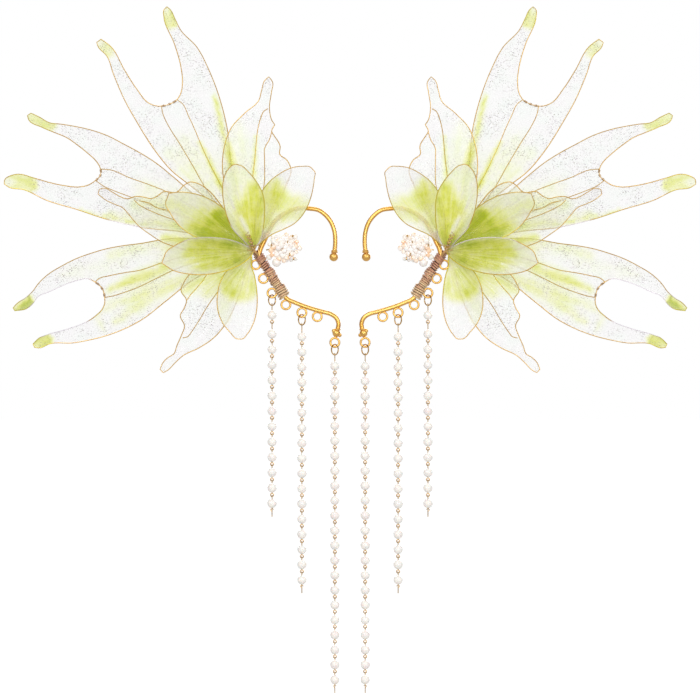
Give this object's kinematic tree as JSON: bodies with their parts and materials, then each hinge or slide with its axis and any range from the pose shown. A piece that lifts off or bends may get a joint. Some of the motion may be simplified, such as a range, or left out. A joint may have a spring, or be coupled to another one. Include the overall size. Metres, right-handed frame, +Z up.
{
  "type": "fairy wing ear cuff pair",
  "caption": "Pair of mirrored fairy-wing ear cuffs: gold hooks with forked translucent film fins, yellow-green petals, a bead sprig and hanging pearl chains.",
  "frame": {"origin": "the left cuff's ear seat: the underside of the hook's crown, where the ear carries it", "axes": "+X from the left cuff to the right one, +Z up along the hanging chains, -Y out of the front of the fins"},
  "size_m": [0.3122, 0.0327, 0.3092],
  "materials": {
    "polished_gold": "polished gold plate",
    "frame_wire": "thin soft gold wire, slightly dull",
    "wrapping_thread": "copper-brown metallic thread, wound",
    "crystal_beads": "clear faceted beads and small pearls",
    "fin_film": "glittered translucent film, tips dyed green",
    "small_fin_film": "thin clear film with a green wash",
    "petal_film": "glossy resin film dyed yellow-green",
    "pearl": "pearl lustre on gold eye pins"
  },
  "bodies": {
    "left_cuff": {"left_ear_hook": "polished_gold", "left_stalk_bundle": "frame_wire", "left_thread_wrap": "wrapping_thread", "left_bead_sprig": "crystal_beads", "left_upper_fin_film": "fin_film", "left_upper_fin_frame": "frame_wire", "left_middle_fin_film": "fin_film", "left_middle_fin_frame": "frame_wire", "left_lower_fin_film": "fin_film", "left_lower_fin_frame": "frame_wire", "left_crest_fin": "small_fin_film", "left_side_fin": "small_fin_film", "left_tail_fin": "small_fin_film", "left_top_petal": "petal_film", "left_inner_petal": "petal_film", "left_outer_upper_petal": "petal_film", "left_outer_lower_petal": "petal_film", "left_bottom_petal": "petal_film"},
    "left_short_chain_ring": {"left_short_chain_ring": "polished_gold"},
    "left_short_chain_1": {"left_short_chain_1": "pearl"},
    "left_short_chain_2": {"left_short_chain_2": "pearl"},
    "left_middle_chain_ring": {"left_middle_chain_ring": "polished_gold"},
    "left_middle_chain_1": {"left_middle_chain_1": "pearl"},
    "left_middle_chain_2": {"left_middle_chain_2": "pearl"},
    "left_middle_chain_3": {"left_middle_chain_3": "pearl"},
    "left_long_chain_ring": {"left_long_chain_ring": "polished_gold"},
    "left_long_chain_1": {"left_long_chain_1": "pearl"},
    "left_long_chain_2": {"left_long_chain_2": "pearl"},
    "left_long_chain_3": {"left_long_chain_3": "pearl"},
    "left_long_chain_4": {"left_long_chain_4": "pearl"},
    "right_cuff": {"right_ear_hook": "polished_gold", "right_stalk_bundle": "frame_wire", "right_thread_wrap": "wrapping_thread", "right_bead_sprig": "crystal_beads", "right_upper_fin_film": "fin_film", "right_upper_fin_frame": "frame_wire", "right_middle_fin_film": "fin_film", "right_middle_fin_frame": "frame_wire", "right_lower_fin_film": "fin_film", "right_lower_fin_frame": "frame_wire", "right_crest_fin": "small_fin_film", "right_side_fin": "small_fin_film", "right_tail_fin": "small_fin_film", "right_top_petal": "petal_film", "right_inner_petal": "petal_film", "right_outer_upper_petal": "petal_film", "right_outer_lower_petal": "petal_film", "right_bottom_petal": "petal_film"},
    "right_short_chain_ring": {"right_short_chain_ring": "polished_gold"},
    "right_short_chain_1": {"right_short_chain_1": "pearl"},
    "right_short_chain_2": {"right_short_chain_2": "pearl"},
    "right_middle_chain_ring": {"right_middle_chain_ring": "polished_gold"},
    "right_middle_chain_1": {"right_middle_chain_1": "pearl"},
    "right_middle_chain_2": {"right_middle_chain_2": "pearl"},
    "right_middle_chain_3": {"right_middle_chain_3": "pearl"},
    "right_long_chain_ring": {"right_long_chain_ring": "polished_gold"},
    "right_long_chain_1": {"right_long_chain_1": "pearl"},
    "right_long_chain_2": {"right_long_chain_2": "pearl"},
    "right_long_chain_3": {"right_long_chain_3": "pearl"},
    "right_long_chain_4": {"right_long_chain_4": "pearl"}
  },
  "joints": [
    {"name": "left_short_chain_sway", "type": "hinge", "parent": "left_cuff", "child": "left_short_chain_ring", "pos_m": [-0.017, 0, -0.0369], "axis": [0, 1, 0], "range_deg": [-5, 5]},
    {"name": "left_short_chain_swing_1", "type": "hinge", "parent": "left_short_chain_ring", "child": "left_short_chain_1", "pos_m": [-0.017, 0, -0.04245], "axis": [1, 0, 0], "range_deg": [-60, 60]},
    {"name": "left_short_chain_swing_2", "type": "hinge", "parent": "left_short_chain_1", "child": "left_short_chain_2", "pos_m": [-0.017, 0, -0.09368], "axis": [1, 0, 0], "range_deg": [-60, 60]},
    {"name": "left_middle_chain_sway", "type": "hinge", "parent": "left_cuff", "child": "left_middle_chain_ring", "pos_m": [-0.0036, 0, -0.0457], "axis": [0, 1, 0], "range_deg": [-3.5, 3.5]},
    {"name": "left_middle_chain_swing_1", "type": "hinge", "parent": "left_middle_chain_ring", "child": "left_middle_chain_1", "pos_m": [-0.0036, 0, -0.05125], "axis": [1, 0, 0], "range_deg": [-60, 60]},
    {"name": "left_middle_chain_swing_2", "type": "hinge", "parent": "left_middle_chain_1", "child": "left_middle_chain_2", "pos_m": [-0.0036, 0, -0.09437], "axis": [1, 0, 0], "range_deg": [-60, 60]},
    {"name": "left_middle_chain_swing_3", "type": "hinge", "parent": "left_middle_chain_2", "child": "left_middle_chain_3", "pos_m": [-0.0036, 0, -0.13534], "axis": [1, 0, 0], "range_deg": [-60, 60]},
    {"name": "left_long_chain_sway", "type": "hinge", "parent": "left_cuff", "child": "left_long_chain_ring", "pos_m": [0.0112, 0, -0.0591], "axis": [0, 1, 0], "range_deg": [-2.5, 2.5]},
    {"name": "left_long_chain_swing_1", "type": "hinge", "parent": "left_long_chain_ring", "child": "left_long_chain_1", "pos_m": [0.0112, 0, -0.06465], "axis": [1, 0, 0], "range_deg": [-60, 60]},
    {"name": "left_long_chain_swing_2", "type": "hinge", "parent": "left_long_chain_1", "child": "left_long_chain_2", "pos_m": [0.0112, 0, -0.10691], "axis": [1, 0, 0], "range_deg": [-60, 60]},
    {"name": "left_long_chain_swing_3", "type": "hinge", "parent": "left_long_chain_2", "child": "left_long_chain_3", "pos_m": [0.0112, 0, -0.14716], "axis": [1, 0, 0], "range_deg": [-60, 60]},
    {"name": "left_long_chain_swing_4", "type": "hinge", "parent": "left_long_chain_3", "child": "left_long_chain_4", "pos_m": [0.0112, 0, -0.18071], "axis": [1, 0, 0], "range_deg": [-60, 60]},
    {"name": "pair_spacing", "type": "slide", "parent": "left_cuff", "child": "right_cuff", "axis": [1, 0, 0], "range_m": [0, 0.12]},
    {"name": "right_short_chain_sway", "type": "hinge", "parent": "right_cuff", "child": "right_short_chain_ring", "pos_m": [0.053, 0, -0.0369], "axis": [0, 1, 0], "range_deg": [-5, 5]},
    {"name": "right_short_chain_swing_1", "type": "hinge", "parent": "right_short_chain_ring", "child": "right_short_chain_1", "pos_m": [0.053, 0, -0.04245], "axis": [1, 0, 0], "range_deg": [-60, 60]},
    {"name": "right_short_chain_swing_2", "type": "hinge", "parent": "right_short_chain_1", "child": "right_short_chain_2", "pos_m": [0.053, 0, -0.09368], "axis": [1, 0, 0], "range_deg": [-60, 60]},
    {"name": "right_middle_chain_sway", "type": "hinge", "parent": "right_cuff", "child": "right_middle_chain_ring", "pos_m": [0.0396, 0, -0.0457], "axis": [0, 1, 0], "range_deg": [-3.5, 3.5]},
    {"name": "right_middle_chain_swing_1", "type": "hinge", "parent": "right_middle_chain_ring", "child": "right_middle_chain_1", "pos_m": [0.0396, 0, -0.05125], "axis": [1, 0, 0], "range_deg": [-60, 60]},
    {"name": "right_middle_chain_swing_2", "type": "hinge", "parent": "right_middle_chain_1", "child": "right_middle_chain_2", "pos_m": [0.0396, 0, -0.09437], "axis": [1, 0, 0], "range_deg": [-60, 60]},
    {"name": "right_middle_chain_swing_3", "type": "hinge", "parent": "right_middle_chain_2", "child": "right_middle_chain_3", "pos_m": [0.0396, 0, -0.13534], "axis": [1, 0, 0], "range_deg": [-60, 60]},
    {"name": "right_long_chain_sway", "type": "hinge", "parent": "right_cuff", "child": "right_long_chain_ring", "pos_m": [0.0248, 0, -0.0591], "axis": [0, 1, 0], "range_deg": [-2.5, 2.5]},
    {"name": "right_long_chain_swing_1", "type": "hinge", "parent": "right_long_chain_ring", "child": "right_long_chain_1", "pos_m": [0.0248, 0, -0.06465], "axis": [1, 0, 0], "range_deg": [-60, 60]},
    {"name": "right_long_chain_swing_2", "type": "hinge", "parent": "right_long_chain_1", "child": "right_long_chain_2", "pos_m": [0.0248, 0, -0.10691], "axis": [1, 0, 0], "range_deg": [-60, 60]},
    {"name": "right_long_chain_swing_3", "type": "hinge", "parent": "right_long_chain_2", "child": "right_long_chain_3", "pos_m": [0.0248, 0, -0.14716], "axis": [1, 0, 0], "range_deg": [-60, 60]},
    {"name": "right_long_chain_swing_4", "type": "hinge", "parent": "right_long_chain_3", "child": "right_long_chain_4", "pos_m": [0.0248, 0, -0.18071], "axis": [1, 0, 0], "range_deg": [-60, 60]}
  ]
}
